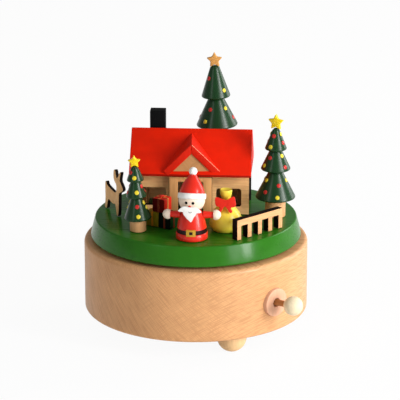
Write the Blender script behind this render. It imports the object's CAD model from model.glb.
"""Wooden turntable music box: every piece in its real finish, on a plain pale stage."""

import math

import bmesh
import bpy
from bpy.props import FloatProperty, FloatVectorProperty, IntProperty, PointerProperty
from mathutils import Matrix, Vector


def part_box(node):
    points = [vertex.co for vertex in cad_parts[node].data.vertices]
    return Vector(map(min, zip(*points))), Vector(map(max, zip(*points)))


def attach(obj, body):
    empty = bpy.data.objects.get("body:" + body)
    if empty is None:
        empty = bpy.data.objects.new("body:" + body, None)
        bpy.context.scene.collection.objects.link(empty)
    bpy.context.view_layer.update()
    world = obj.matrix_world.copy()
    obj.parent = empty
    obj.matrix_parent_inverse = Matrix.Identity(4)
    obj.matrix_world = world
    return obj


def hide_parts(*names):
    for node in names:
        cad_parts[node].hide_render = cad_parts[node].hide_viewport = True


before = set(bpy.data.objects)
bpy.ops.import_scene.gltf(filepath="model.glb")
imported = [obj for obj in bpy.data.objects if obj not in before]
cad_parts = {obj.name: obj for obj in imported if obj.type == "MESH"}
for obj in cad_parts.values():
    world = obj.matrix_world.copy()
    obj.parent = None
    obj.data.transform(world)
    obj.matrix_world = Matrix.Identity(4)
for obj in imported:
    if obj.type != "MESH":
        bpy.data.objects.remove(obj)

bl_info = {
    "name": "Turntable music box",
    "version": (1, 0, 0),
    "blender": (4, 5, 0),
    "location": "View3D > Sidebar > Music box",
    "description": "Dresses a wooden music box in its real finishes and sets a plain stage",
    "category": "Object",
}

# Lengths are in millimetres unless a name says otherwise; the makers of shapes turn them into metres
MM = 0.001
GAP = 0.3
SHARP_ANGLE = math.radians(38.0)
DISC_SHARP_ANGLE = math.radians(30.0)
SOFT_EDGE = 0.3
SMALL_EDGE = 0.2
SOFT_STEPS = 3
GLUE_LINE = 0.05
CUT_MARGIN = 2.0

# Heights taken from the CAD solids
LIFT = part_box("base_shell")[0][2] / MM
TABLE_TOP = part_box("turntable")[1][2] / MM
SEAT = TABLE_TOP + GAP

# Base
BASE_RADIUS = 55.0
BASE_HEIGHT = 35.3
BASE_RIM_ROUND = 2.0
BASE_EDGE_ROUND = 1.3
CAVITY_RADIUS = 44.0
CEILING = 29.3
COVER_RADIUS = 47.8
COVER_THICKNESS = 3.0
ARBOR_HOLE_RADIUS = 4.5
FOOT_COUNT = 3
FOOT_FIRST_ANGLE = 28.0
FOOT_CIRCLE = 42.0
FOOT_BALL_RADIUS = 7.2
FOOT_BALL_DROP = 3.2
FOOT_FLAT_RADIUS = 1.8
FOOT_PEG_RADIUS = 2.0
BORE_REACH = 5.0
SCREWS = ("movement_screw_1", "movement_screw_2", "cover_screw_1", "cover_screw_2", "cover_screw_3")

# Stop knob
KNOB_ANGLE = 47.0
KNOB_HEIGHT = 15.4
KNOB_SLANT = 6.0
KNOB_BALL_RADIUS = 4.7
KNOB_BALL_STANDOFF = 12.6
KNOB_ROD_RADIUS = 1.5
KNOB_COLLAR_RADIUS = 2.8
KNOB_COLLAR_OUTER = 43.3
KNOB_COLLAR_INNER = 42.1
KNOB_NOSE_RADIUS = 0.8
KNOB_NOSE_TIP = 39.4
WASHER_RADIUS = 6.9
WASHER_HOLE_RADIUS = 2.2
WASHER_FACE = 56.6
WASHER_SEAT = 54.4
WASHER_ROUND = 0.35
WASHER_HOLE_ROUND = 0.25

# Movement: for each metal its colour, roughness, the size in metres of its tool marks, and its nodes
METALS = {
    "die_cast_zinc": ("A2A5A8", (0.42, 0.55), (0.0007, 0.0007, 0.0007), ("bedplate", "spring_housing")),
    "bright_steel": ("C4C7CA", (0.24, 0.36), (0.004, 0.0004, 0.0004), (
        "mainspring", "comb", "comb_screw_1", "comb_screw_2", "governor_fly", "winding_arbor",
        "turntable_flange", "cylinder_shaft", *SCREWS,
    )),
    "machined_brass": ("C9A44E", (0.24, 0.36), (0.003, 0.0004, 0.0004), (
        "governor_bracket", "main_wheel", "music_cylinder", "governor_wheel",
    )),
}

# Turntable
TABLE_BOTTOM = 36.7
TABLE_THICKNESS = 9.8
TABLE_BOTTOM_RADIUS = 51.7
TABLE_TOP_RADIUS = 49.6
TABLE_ROUND = 0.9
FLANGE_RADIUS = 12.0
FLANGE_HUB_RADIUS = 4.2
FLANGE_RECESS = 2.1
FLANGE_HUB_RECESS = 5.9

# Cottage
HOUSE_CENTRE = -2.35
HOUSE_LENGTH = 56.9
HOUSE_DEPTH = 26.0
WALL_HEIGHT = 20.25
WALL_THICKNESS = 3.0
WINDOW_WIDTH = 12.2
WINDOW_BOTTOM = 4.35
WINDOW_TOP = 13.4
WINDOW_SETBACK = 18.45
WINDOW_CORNER = 1.2
PORCH_WIDTH = 20.8
PORCH_REACH = 4.0
DOOR_WIDTH = 12.2
DOOR_HEIGHT = 17.8
SIDE_WALL_INSET = 3.0
ROOF_OVERHANG = 1.35
ROOF_OFFSET = -0.35
ROOF_EAVE_REACH = 5.6
ROOF_BACK_REACH = 4.0
ROOF_EDGE = 1.1
ROOF_HEIGHT = 19.35
ROOF_BOTTOM = 20.85
DORMER_OFFSET = 0.55
DORMER_HALF_SPAN = 13.85
DORMER_HEIGHT = 37.45
DORMER_BOARD = 3.5
DORMER_TURN = 3.0
DORMER_NOD = 3.0
DORMER_FRONT = -5.9
DORMER_GABLE_LIFT = 2.5
DORMER_GABLE_RECESS = 0.7
GABLE_SEAM_TOP = (2.05, 2.15)
GABLE_SEAM_FOOT = (-2.05, 8.9)
CHIMNEY_CENTRE = -19.8
CHIMNEY_WIDTH = 7.6
CHIMNEY_DEPTH = 6.0
CHIMNEY_HEIGHT = 48.4
CHIMNEY_SETBACK = 1.2

# Trees: each tier as (height of its lower edge, radius there, radius at its top), from the bottom up,
# and the painted dots as (height, angle from the front to the right in degrees)
TREES = {
    "tall_tree": {
        "place": (8.8, 41.0),
        "lean": -2.4,
        "trunk": (5.6, 17.0),
        "tiers": ((17.8, 11.0, 4.2), (34.0, 10.3, 3.6), (48.9, 7.2, 2.45)),
        "crown_top": 64.1,
        "star": (4.1, 0.0),
        "red_dots": ((59.0, -47), (43.5, -27), (38.4, 78), (24.0, -60), (27.0, 20), (21.5, 62)),
        "yellow_dots": ((53.0, 47), (43.6, 52), (37.8, -38), (28.5, -15), (22.0, 5), (27.5, 88)),
    },
    "right_tree": {
        "place": (39.0, -0.2),
        "lean": 0.0,
        "trunk": (5.0, 9.0),
        "tiers": ((9.6, 9.75, 3.0), (24.0, 7.2, 2.9), (34.2, 5.3, 1.8)),
        "crown_top": 44.1,
        "star": (4.2, -20.0),
        "red_dots": ((41.5, -20), (38.1, 60), (30.7, -37), (26.4, 47), (17.4, 17), (14.1, -37)),
        "yellow_dots": (
            (36.4, -31), (42.2, 69), (31.6, 50), (26.7, -59), (19.2, -55), (19.0, 73), (12.1, 8),
        ),
    },
    "left_tree": {
        "place": (-26.2, -27.1),
        "lean": -3.2,
        "trunk": (3.95, 5.9),
        "tiers": ((6.3, 6.6, 2.6), (17.2, 4.9, 2.3), (25.3, 4.1, 1.85)),
        "crown_top": 31.8,
        "star": (3.3, 0.0),
        "red_dots": ((13.3, 6), (19.9, -76), (29.9, -45), (22.8, 66)),
        "yellow_dots": ((27.6, -1), (20.4, 10), (8.9, 9), (14.5, 73), (12.0, -100)),
    },
}
TIER_ROUND = 0.65
TIER_UNDERCUT = 0.25
CROWN_DOME = 0.9
CROWN_DOME_INSET = 0.45
CROWN_TIP_ROUND = 0.3
NECK_FLARE = (0.4, 0.1)
FLANK_START = 1.34
TRUNK_ROUND = 0.2
STAR_THICKNESS = 2.0
STAR_WAIST = 0.52

# Reindeer: a flat cut-out, outline in (along the body, up) from the hind hoof
DEER_PLACE = (-45.0, 6.0)
DEER_HEADING = -60.9
DEER_THICKNESS = 1.7
DEER_OUTLINE = (
    (-1.8, 0.0), (0.9, 0.0), (1.5, 2.6), (3.1, 6.0), (5.3, 5.1), (9.1, 4.7), (11.2, 5.6),
    (12.2, 3.6), (12.7, 0.0), (15.2, 0.0), (15.8, 9.1), (15.9, 12.2), (18.3, 13.3),
    (20.6, 14.6), (20.9, 15.8), (18.8, 17.6), (16.7, 18.9), (18.8, 23.8), (17.0, 23.3),
    (15.0, 20.2), (13.7, 19.2), (12.4, 20.4), (11.8, 22.9), (9.8, 22.9), (9.3, 18.6),
    (10.8, 16.8), (13.0, 15.8), (12.9, 12.8), (11.8, 11.0), (3.8, 12.1), (1.2, 12.6),
    (0.7, 14.1), (-0.7, 14.0), (-0.8, 10.0), (-0.6, 5.5), (-1.2, 2.4),
)

# Fence
FENCE_START = (22.3, -39.8)
FENCE_HEADING = 45.4
FENCE_LENGTH = 29.6
FENCE_HEIGHT = 10.0
FENCE_RAIL = 3.2
FENCE_POSTS = 5
FENCE_POST_WIDTH = 2.6
FENCE_THICKNESS = 3.6

# Presents
PRESENT_CORNER = (-10.8, -25.8)
PRESENT_HEADING = 60.8
PRESENT_WIDTH = 6.7
PRESENT_LOWER_HEIGHT = 7.4
PRESENT_UPPER_HEIGHT = 6.7
RIBBON_WIDTH = 1.1
RIBBON_THICKNESS = 0.14
RIBBON_EASE = 0.04
RIBBON_BOW = 1.7
LOOP_PLACE = (0.55, 0.32)
LOOP_TILT = 24
LOOP_RADIUS = 0.6
LOOP_SQUASH = (1.0, 0.7, 0.45)
KNOT_RADIUS = 0.3
KNOT_HEIGHT = 0.35
PRESENT_ROUND = 0.25

# Father Christmas figure
FIGURE_PLACE = (0.4, -36.4)
FIGURE_BASE_RADIUS = 7.65
FIGURE_BELT_RADIUS = 6.9
FIGURE_BELT_BOTTOM = 3.7
FIGURE_BELT_TOP = 5.7
FIGURE_WAIST_RADIUS = 7.1
FIGURE_CHEST = ((5.75, 11.6), (6.6, 8.4))
FIGURE_SHOULDER_RADIUS = 4.9
FIGURE_SHOULDER_HEIGHT = 13.9
FIGURE_SHOULDER_DROP = 0.5
FIGURE_SHOULDER_ROUND = 0.8
FIGURE_FOOT_ROUND = 0.5
FIGURE_BELT_ROUND = 0.15
FIGURE_HIP = ((0.3, 0.05), (0.0, 0.5))
BUCKLE_WIDTH = 4.4
BUCKLE_HEIGHT = 3.2
BUCKLE_MIDDLE = 4.75
BUCKLE_OPENING = (0.8, 0.75)
BUCKLE_RADIUS = 7.35
BUCKLE_THICKNESS = 0.8
BUCKLE_FIELD_EDGE = 0.2
BUCKLE_FIELD_SHARE = 0.3
HEAD_RADIUS = 6.35
HEAD_HEIGHT = 19.4
HEAD_TILT = 16.0
HEAD_TURN = -6.3
NECK_HEIGHT = 1.0
HAT_BAND_RADIUS = 6.75
HAT_BAND_LOW = 0.3
HAT_BAND_HIGH = 3.1
HAT_BAND_ROUND = 0.55
HAT_TIP = 11.8
HAT_SIDE = ((1.65, HAT_TIP), (2.1, HAT_TIP - 0.7), (3.7, 9.0), (5.3, 6.0), (6.1, HAT_BAND_HIGH))
POMPOM_RADIUS = 2.0
POMPOM_RISE = 0.8
EYE_RADIUS = 0.7
EYE_SPREAD = 15.5
EYE_DROP = 14.7
EYE_SQUASH = 0.35
NOSE_RADIUS = 0.75
NOSE_DROP = 33.0
NOSE_SQUASH = 0.6
ARM_HEIGHT = 11.9
ARM_RADIUS = 1.45
ARM_SHOULDER_RADIUS = 1.85
SLEEVE_INSET = 2.2
HAND_CENTRE = 11.5
HAND_RADIUS = 2.45
HAND_CUT = 1.2
BEARD_STANDOFF = 7.0
BEARD_THICKNESS = 1.0
BEARD_OUTLINE = (
    (-5.5, 15.9), (-4.6, 15.5), (-3.0, 15.4), (-2.6, 14.1), (-1.2, 12.3), (0.9, 10.4), (1.5, 11.2),
    (2.1, 12.7), (3.1, 14.0), (3.5, 15.1), (5.0, 15.3), (6.0, 15.7), (4.9, 16.9), (3.9, 17.7), (2.6, 18.0),
    (1.4, 18.0), (0.2, 17.8), (-1.1, 18.1), (-2.2, 18.2), (-3.2, 18.0), (-4.2, 17.2),
)
MOUTH_PLACE = (0.55, 15.6)
MOUTH_THICKNESS = 0.16
MOUTH_ARCS = ((0.5, 0.95, -150, -30), (0.7, 0.85, -30, -150))

# Sack
SACK_PLACE = (16.0, -23.4)
SACK_PROFILE = (
    (0.0, 19.9), (2.3, 20.1), (2.8, 20.4), (3.05, 19.6), (2.6, 17.2), (1.5, 14.6), (2.9, 12.7),
    (5.2, 10.7), (7.1, 7.9), (8.0, 4.9), (8.0, 2.4), (6.6, 0.4), (5.8, 0.0), (0.0, 0.0),
)
BOW_STANDOFF = 5.2
BOW_HEIGHT = 14.9
BOW_LEAN = 17.6
BOW_THICKNESS = 1.5
BOW_OUTLINE = (
    (-5.1, 2.6), (-4.0, 3.1), (-0.7, 1.7), (0.9, 1.7), (3.7, 3.6), (4.6, 2.8), (5.3, -1.7),
    (2.2, -2.0), (3.7, -3.9), (2.4, -5.0), (0.2, -1.6), (-0.7, -1.6), (-2.4, -5.1),
    (-3.7, -4.1), (-2.4, -2.0), (-4.9, -1.3),
)

# The photo's camera, in metres, and its focal length for a frame that is 36 mm wide
CAMERA_PLACE = (0.073087, -1.130208, 0.431623)
CAMERA_FORWARD = (-0.05970191, 0.94926446, -0.3087599)
CAMERA_FRAME = 36.0
CAMERA_FOCAL = 218.217

# Lamps, in metres; each has its angle from the front to the right, its height angle and its size
LAMP_DISTANCE = 1.15
LAMP_TARGET = 0.06
LAMPS = {
    "right_window": (60.0, 18.0, (0.22, 0.7)),
    "front_window": (45.0, 17.0, (0.24, 0.7)),
    "far_window": (125.0, 20.0, (0.5, 0.8)),
    "left_window": (-38.0, 24.0, (0.12, 0.4)),
}
FLOOR_REACH = 4.0
WHITE_SHARE = 0.94

# Grain: a streak's length, width and depth in metres, and its small slants in radians
BARE_STREAK = (0.009, 0.0007, 0.0006)
BARE_SLANT = (0.02, 0.03, 0.05)
PAINTED_STREAK = (0.014, 0.0012, 0.0012)
PAINTED_SLANT = (0.03, 0.02, 0.04)
PLYWOOD_STREAK = (0.011, 0.0006, 0.0006)
PLYWOOD_BAND = (0.04, 0.0028, 0.0028)
PLYWOOD_GRAIN_SHARE = 0.3
BUMP_STRENGTH = 0.7

# Beech's two crossing sets of ray flecks: their fall, how it eases round the base, the angles in
# radians between which their strength changes, and that strength at either end
FLECK_SETS = ((1.0, 0.3, (-0.3, 0.6), (1.0, 0.35)), (-0.6, -0.3, (-0.5, 0.3), (0.35, 0.9)))
FLECK_SPREAD = (0.50, 0.62)
FLECK_SHARE = 0.38

# Placing frames
STAND = Matrix.Translation((0.0, 0.0, LIFT * MM))
Z_TO_X = Matrix.Rotation(math.radians(90.0), 4, "Y")
Y_TO_Z = Matrix.Rotation(math.radians(90.0), 4, "X")
KNOB_LEVEL = (
    STAND
    @ Matrix.Rotation(math.radians(KNOB_ANGLE - 90.0), 4, "Z")
    @ Matrix.Translation((BASE_RADIUS * MM, 0.0, KNOB_HEIGHT * MM))
)
TO_TABLE_AXIS = Matrix.Translation((-BASE_RADIUS * MM, 0.0, 0.0)) @ Z_TO_X
KNOB_AXIS = KNOB_LEVEL @ Matrix.Rotation(math.radians(-KNOB_SLANT), 4, "Y") @ TO_TABLE_AXIS
WASHER_AXIS = KNOB_LEVEL @ TO_TABLE_AXIS


def linear(hex_colour):
    """An sRGB hex colour as linear red, green and blue."""
    channels = [int(hex_colour[i : i + 2], 16) / 255 for i in (0, 2, 4)]
    return tuple(c / 12.92 if c <= 0.04045 else ((c + 0.055) / 1.055) ** 2.4 for c in channels)


def colour_property(name, description, hex_colour):
    """A colour that a user may change."""
    limits = {"subtype": "COLOR", "min": 0.0, "max": 1.0}
    return FloatVectorProperty(name=name, description=description, default=linear(hex_colour), **limits)


def length_property(name, description, default):
    """A length in metres that a user may change."""
    return FloatProperty(name=name, description=description, default=default, min=0.0, unit="LENGTH")


def power_property(name, description, default):
    """A lamp's power in watts that a user may change."""
    return FloatProperty(name=name, description=description, default=default, min=0.0, unit="POWER")


class MusicBoxWoods(bpy.types.PropertyGroup):
    """Colours and grain of the bare woods"""

    beech: colour_property("Beech", "Lacquered beech of the base", "E3AB76")
    beech_fleck: colour_property("Beech fleck", "Darker ray flecks in the beech", "A8683A")
    pale_wood: colour_property("Pale wood", "Knob ball", "F4E2BE")
    foot_wood: colour_property("Foot wood", "Ball feet", "F1CA96")
    pink_wood: colour_property("Pink wood", "Washer of the stop knob", "EDB795")
    dowel_wood: colour_property("Dowel wood", "Dowel of the stop knob", "C27F48")
    plywood: colour_property("Plywood", "Face of the laser-cut boards", "E6AC6E")
    plywood_grain: colour_property("Plywood grain", "Darker lines of the plywood's face", "A96A36")
    veneer: colour_property("Gable veneer", "Two veneers in the dormer's gable", "C7925F")
    star_wood: colour_property("Star plywood", "Bare star on the tall tree", "D89E55")
    wall_wood: colour_property("Wall plywood", "Front and back walls, reindeer", "F4C084")
    fence_wood: colour_property("Fence plywood", "Face of the fence", "EBB07C")
    toast: colour_property("Toast", "Sawn edges inside the cottage", "7A4A26")
    scorch: colour_property("Scorch", "Edges that the laser burnt", "0F0806")
    hardboard: colour_property("Hardboard", "Board that closes the base", "A87B4E")
    fleck_gap: length_property("Fleck gap", "Distance between ray flecks", 0.00048)
    fleck_length: length_property("Fleck length", "Length of a ray fleck", 0.008)


class MusicBoxPaints(bpy.types.PropertyGroup):
    """Colours of the painted pieces"""

    meadow_green: colour_property("Meadow green", "Turntable", "2B6E15")
    fir_green: colour_property("Fir green", "Tree crowns", "0E3815")
    roof_red: colour_property("Roof red", "Roof and dormer", "E62000")
    worn_red: colour_property("Worn red", "Rubbed edge of the dormer", "F79A78")
    coat_red: colour_property("Coat red", "Coat, hat, bow and top present", "E22A18")
    end_red: colour_property("End red", "Top present's end grain, which drinks the paint", "5C0A05")
    cream: colour_property("Cream", "Face and hands", "F5E0CA")
    white: colour_property("White", "Beard, hat band and pompom", "F7F5F0")
    sack_yellow: colour_property("Sack yellow", "Sack", "F6DE4A")
    star_yellow: colour_property("Star yellow", "Tree stars", "F9D70C")
    olive_yellow: colour_property("Olive yellow", "Lower left present", "8F7E05")
    bottle_green: colour_property("Bottle green", "Lower right present", "0C3A14")
    end_green: colour_property("End green", "Lower right present's end grain", "06120A")
    black: colour_property("Black", "Chimney and eyes", "08090A")
    belt: colour_property("Belt", "Brown-black belt", "2A0E10")
    ribbon_gold: colour_property("Ribbon gold", "Ribbon of the top present", "E88A4A")
    ribbon_brown: colour_property("Ribbon brown", "Ribbon where it crosses end grain", "6E2A12")
    ribbon_orange: colour_property("Ribbon orange", "Ribbon of the yellow present", "D98A1E")
    buckle_gold: colour_property("Buckle gold", "Buckle", "C99A2E")
    dot_red: colour_property("Dot red", "Red dots on the trees", "C92A22")
    dot_yellow: colour_property("Dot yellow", "Yellow dots on the trees", "E8D234")


class MusicBoxSizes(bpy.types.PropertyGroup):
    """Sizes of small details, in metres"""

    board_ease: length_property("Board ease", "Rounding of a board's edges", 0.00018)
    star_ease: length_property("Star ease", "Rounding of a star's edges", 0.0005)
    dot_radius: length_property("Dot radius", "Radius of a painted dot", 0.00105)
    dot_height: length_property("Dot height", "Height of a painted dot's blob", 0.0003)
    turning_steps: IntProperty(
        name="Turning steps", description="Facets round a large turned piece", default=160, min=24
    )


class MusicBoxStage(bpy.types.PropertyGroup):
    """Floor and light"""

    floor: colour_property("Floor", "Plain floor", "FAFAF9")
    right_window: power_property("Right window", "Tall lamp on the right", 11.1)
    front_window: power_property("Front window", "Tall lamp in front, to the right", 3.3)
    far_window: power_property("Far window", "Wide lamp on the right, behind", 6.5)
    left_window: power_property("Left window", "Weak narrow lamp on the left", 0.9)
    sky_strength: FloatProperty(name="Sky", description="Even light all round", default=0.3, min=0.0)


# Shapes


def metres(point):
    """A point in millimetres as a vector in metres."""
    return Vector(point) * MM


def shift(x, y, z):
    return Matrix.Translation(metres((x, y, z)))


def turn(degrees, axis="Z"):
    return Matrix.Rotation(math.radians(degrees), 4, axis)


def around(radius, degrees):
    """A point on a circle about the turntable's axis, its angle counted from front to right."""
    angle = math.radians(degrees)
    return radius * math.sin(angle), -radius * math.cos(angle)


def corner(radius, height, size, start, end, steps):
    """The arc that rounds a profile's corner; its angles tell inner from outer and upper from lower."""
    out, up = -1 if start > 90 else 1, -1 if end < 0 else 1
    return arc((radius - out * size, height - up * size), size, start, end, steps)


def arc(centre, radius, start, end, steps):
    """Points of a round stretch, angles in degrees from +X."""
    points = []
    for step in range(steps + 1):
        angle = math.radians(start + (end - start) * step / steps)
        points.append((centre[0] + radius * math.cos(angle), centre[1] + radius * math.sin(angle)))
    return points


def softened(points, rounds, closed=True):
    """An outline with its corners cut back a few times, so that it reads as a curve."""
    for _ in range(rounds):
        count = len(points)
        ends = [] if closed else [points[0]]
        for index in range(count if closed else count - 1):
            a, b = Vector(points[index]), Vector(points[(index + 1) % count])
            ends += [tuple(a.lerp(b, 0.25)), tuple(a.lerp(b, 0.75))]
        points = ends if closed else ends + [points[-1]]
    return points


def spun(profile, place=Matrix(), steps=72):
    """A solid turned about Z from (radius, height) points; one that misses the axis is a ring."""
    shape = bmesh.new()
    verts = [shape.verts.new(metres((radius, 0.0, height))) for radius, height in profile]
    edges = [shape.edges.new(pair) for pair in zip(verts, verts[1:])]
    if profile[0][0] > 0:
        edges.append(shape.edges.new((verts[-1], verts[0])))
    about = {"cent": (0, 0, 0), "axis": (0, 0, 1), "angle": math.tau}
    bmesh.ops.spin(shape, geom=verts + edges, steps=steps, use_merge=True, use_duplicate=False, **about)
    bmesh.ops.remove_doubles(shape, verts=shape.verts, dist=0.000001)
    bmesh.ops.recalc_face_normals(shape, faces=shape.faces)
    return moved(shape, place)


def ease(shape, width, segments=2, sharper_than=30.0):
    """Rounds the sharp edges of a shape by a width in metres."""
    limit = math.radians(sharper_than)
    edges = [e for e in shape.edges if e.is_manifold and e.calc_face_angle(0.0) > limit]
    kind = {"offset_type": "OFFSET", "profile": 0.5, "affect": "EDGES", "clamp_overlap": True, "material": -1}
    bmesh.ops.bevel(shape, geom=edges, offset=width, segments=segments, **kind)
    return shape


def slab(outline, thickness):
    """A flat piece sawn to an outline in XY, half its thickness on each side."""
    shape = bmesh.new()
    verts = [shape.verts.new(metres((x, y, -thickness / 2))) for x, y in outline]
    made = bmesh.ops.extrude_face_region(shape, geom=[shape.faces.new(verts)])
    raised = [item for item in made["geom"] if isinstance(item, bmesh.types.BMVert)]
    bmesh.ops.translate(shape, verts=raised, vec=metres((0, 0, thickness)))
    bmesh.ops.recalc_face_normals(shape, faces=shape.faces)
    return shape


def block(low, high):
    """A box between two corners."""
    shape = bmesh.new()
    bmesh.ops.create_cube(shape, size=1.0)
    low, high = metres(low), metres(high)
    bmesh.ops.scale(shape, vec=high - low, verts=shape.verts)
    bmesh.ops.translate(shape, vec=(high + low) / 2, verts=shape.verts)
    return shape


def ball(radius, place=Matrix(), squash=1.0):
    """A ball, flattened along its own Y where squash is under 1."""
    shape = bmesh.new()
    bmesh.ops.create_uvsphere(shape, u_segments=32, v_segments=20, radius=radius * MM)
    bmesh.ops.scale(shape, vec=(1, squash, 1), verts=shape.verts)
    return moved(shape, place)


def moved(shape, place):
    bmesh.ops.transform(shape, matrix=place, verts=shape.verts)
    return shape


def merged(shapes):
    """Several shapes as one."""
    whole = bmesh.new()
    for shape in shapes:
        mesh = bpy.data.meshes.new("joined")
        shape.to_mesh(mesh)
        shape.free()
        whole.from_mesh(mesh)
        bpy.data.meshes.remove(mesh)
    return whole


def as_object(name, shape):
    mesh = bpy.data.meshes.new(name)
    shape.to_mesh(mesh)
    shape.free()
    obj = bpy.data.objects.new(name, mesh)
    bpy.context.scene.collection.objects.link(obj)
    return obj


def carved(shape, cutters):
    """A shape with the cutters' shapes taken out of it."""
    body = as_object("carved", shape)
    tools = [as_object("cutter", cutter) for cutter in cutters]
    for tool in tools:
        cut = body.modifiers.new("cut", "BOOLEAN")
        cut.operation = "DIFFERENCE"
        cut.object = tool
    bpy.context.view_layer.update()
    result = bmesh.new()
    result.from_object(body, bpy.context.evaluated_depsgraph_get())
    for obj in (body, *tools):
        mesh = obj.data
        bpy.data.objects.remove(obj, do_unlink=True)
        bpy.data.meshes.remove(mesh)
    return result


def wrapped(shape, radius):
    """A flat shape in XZ bent round an upright cylinder, its -Y side outwards."""
    for vert in shape.verts:
        angle = vert.co.x / (radius * MM)
        reach = radius * MM - vert.co.y
        vert.co.x, vert.co.y = reach * math.sin(angle), -reach * math.cos(angle)
    return shape


def mark_faces(shape, chosen, index):
    """Gives the faces that chosen accepts another of the piece's materials."""
    for face in shape.faces:
        if chosen(face):
            face.material_index = index
    return shape


def mark_cut_edges(shape, axis):
    """Material 1 on the sawn edges of a board that is flat across the given axis."""
    return mark_faces(shape, lambda face: abs(face.normal[axis]) < 0.5, 1)


def piece(name, shape, materials, body, replaces=(), smooth=SHARP_ANGLE):
    """Puts a finished shape in the scene, on its body and in place of its plain solids."""
    obj = as_object(name, shape)
    obj.data.shade_smooth()
    obj.data.set_sharp_from_angle(angle=smooth)
    for material in materials:
        obj.data.materials.append(material)
    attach(obj, body)
    if replaces:
        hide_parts(*replaces)


def on_table(name, shape, materials, replaces=(), smooth=SHARP_ANGLE):
    piece(name, shape, materials, "turntable_body", replaces, smooth)


# Materials


def new_material(name):
    """A material, its node tree and its shader."""
    material = bpy.data.materials.new(name)
    material.use_nodes = True
    return material, material.node_tree, material.node_tree.nodes["Principled BSDF"]


def add_node(tree, kind, inputs=None, **settings):
    """Adds a node and sets its properties and inputs; an input given a node takes its first output."""
    node = tree.nodes.new("ShaderNode" + kind)
    for name, value in settings.items():
        setattr(node, name, value)
    for key, value in (inputs or {}).items():
        if isinstance(value, bpy.types.Node):
            value = value.outputs[0]
        if isinstance(value, bpy.types.NodeSocket):
            tree.links.new(value, node.inputs[key])
        else:
            node.inputs[key].default_value = value
    return node


def shade(colour, share=1.0):
    """A colour times a share, as red, green, blue and alpha."""
    return (*(channel * share for channel in colour[:3]), 1.0)


def streaks(tree, size, low, high, rotation=(0, 0, 0)):
    """A pattern from 0 to 1 of streaks: size is one streak's extent along X, Y and Z in metres."""
    place = {"Vector": add_node(tree, "TexCoord").outputs["Object"], "Rotation": rotation, "Scale": size}
    across = add_node(tree, "Mapping", place, vector_type="TEXTURE")
    noise = add_node(tree, "TexNoise", {"Vector": across, "Scale": 1.0, "Detail": 2.0})
    return add_node(tree, "MapRange", {"Value": noise, "From Min": low, "From Max": high})


def mixed(tree, pattern, first, second):
    """A colour between two, by a pattern."""
    return add_node(tree, "Mix", {0: pattern, 6: first, 7: second}, data_type="RGBA").outputs[2]


def two_tone(tree, pattern, colour, share):
    """A colour that a pattern takes to its shade."""
    return mixed(tree, pattern, shade(colour), shade(colour, share))


def finish_surface(tree, shader, colour, relief, height, rough, specular=0.5, coat=0.0, coat_rough=0.03):
    """Links colour, bump of a real height in metres, and roughness that follows the relief."""
    bump = add_node(tree, "Bump", {"Strength": BUMP_STRENGTH, "Distance": height, "Height": relief})
    sheen = add_node(tree, "MapRange", {"Value": relief, "To Min": rough[0], "To Max": rough[1]})
    links = {"Base Color": colour, "Normal": bump.outputs[0], "Roughness": sheen.outputs[0]}
    for name, source in links.items():
        tree.links.new(source, shader.inputs[name])
    constants = {"Specular IOR Level": specular, "Coat Weight": coat, "Coat Roughness": coat_rough}
    for name, value in constants.items():
        shader.inputs[name].default_value = value


def run_along(streak, axis):
    """A streak's extent along X, Y and Z when its length runs along the named axis."""
    length, width, depth = streak
    return {"X": streak, "Y": (depth, length, depth), "Z": (depth, width, length)}[axis]


def unrolled(tree):
    """The angle round the base from its front to the right, in radians, and the height in metres."""
    along = add_node(tree, "SeparateXYZ", {0: add_node(tree, "TexCoord").outputs["Object"]}).outputs
    front = add_node(tree, "Math", {0: along["Y"], 1: -1.0}, operation="MULTIPLY")
    return add_node(tree, "Math", {0: along["X"], 1: front}, operation="ARCTAN2"), along["Z"]


def flecks(tree, angle, height, fall, bend, woods):
    """A pattern from 0 to 1 of thin slanting lines on the base's turned side."""
    radius = BASE_RADIUS * MM
    slope = {0: angle, 1: -bend * radius, 2: fall * radius}
    slope = add_node(tree, "Math", slope, operation="MULTIPLY_ADD")
    drop = add_node(tree, "Math", {0: angle, 1: slope}, operation="MULTIPLY")
    across = add_node(tree, "Math", {0: height, 1: drop}, operation="ADD")
    length = add_node(tree, "Math", {0: angle, 1: radius / woods.fleck_length}, operation="MULTIPLY")
    thin = add_node(tree, "Math", {0: across, 1: woods.fleck_gap}, operation="DIVIDE")
    flat = add_node(tree, "CombineXYZ", {"X": thin, "Y": length})
    noise = add_node(tree, "TexNoise", {"Vector": flat, "Scale": 1.0, "Detail": 0.0}, noise_dimensions="2D")
    low, high = FLECK_SPREAD
    return add_node(tree, "MapRange", {"Value": noise, "From Min": low, "From Max": high})


def turned_beech(woods):
    """Beech, turned and satin lacquered: warm tan, with fine ray flecks that slant two ways."""
    material, tree, shader = new_material("turned_beech_satin_lacquer")
    angle, height = unrolled(tree)
    sets = []
    for fall, bend, (start, end), (first, last) in FLECK_SETS:
        lines = flecks(tree, angle, height, fall, bend, woods)
        fade = {"Value": angle, "From Min": start, "From Max": end, "To Min": first, "To Max": last}
        fade = add_node(tree, "MapRange", fade)
        sets.append(add_node(tree, "Math", {0: lines, 1: fade}, operation="MULTIPLY"))
    strength = add_node(tree, "Math", {0: sets[0], 1: sets[1]}, operation="MAXIMUM")
    faint = add_node(tree, "Math", {0: strength, 1: FLECK_SHARE}, operation="MULTIPLY")
    clouds = streaks(tree, (0.02, 0.02, 0.012), 0.3, 0.7)
    ground = two_tone(tree, clouds, woods.beech, 0.9)
    colour = mixed(tree, faint, ground, shade(woods.beech_fleck))
    finish_surface(tree, shader, colour, strength, -0.00003, (0.42, 0.52), 0.3, 0.1, 0.3)
    return material


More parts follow.
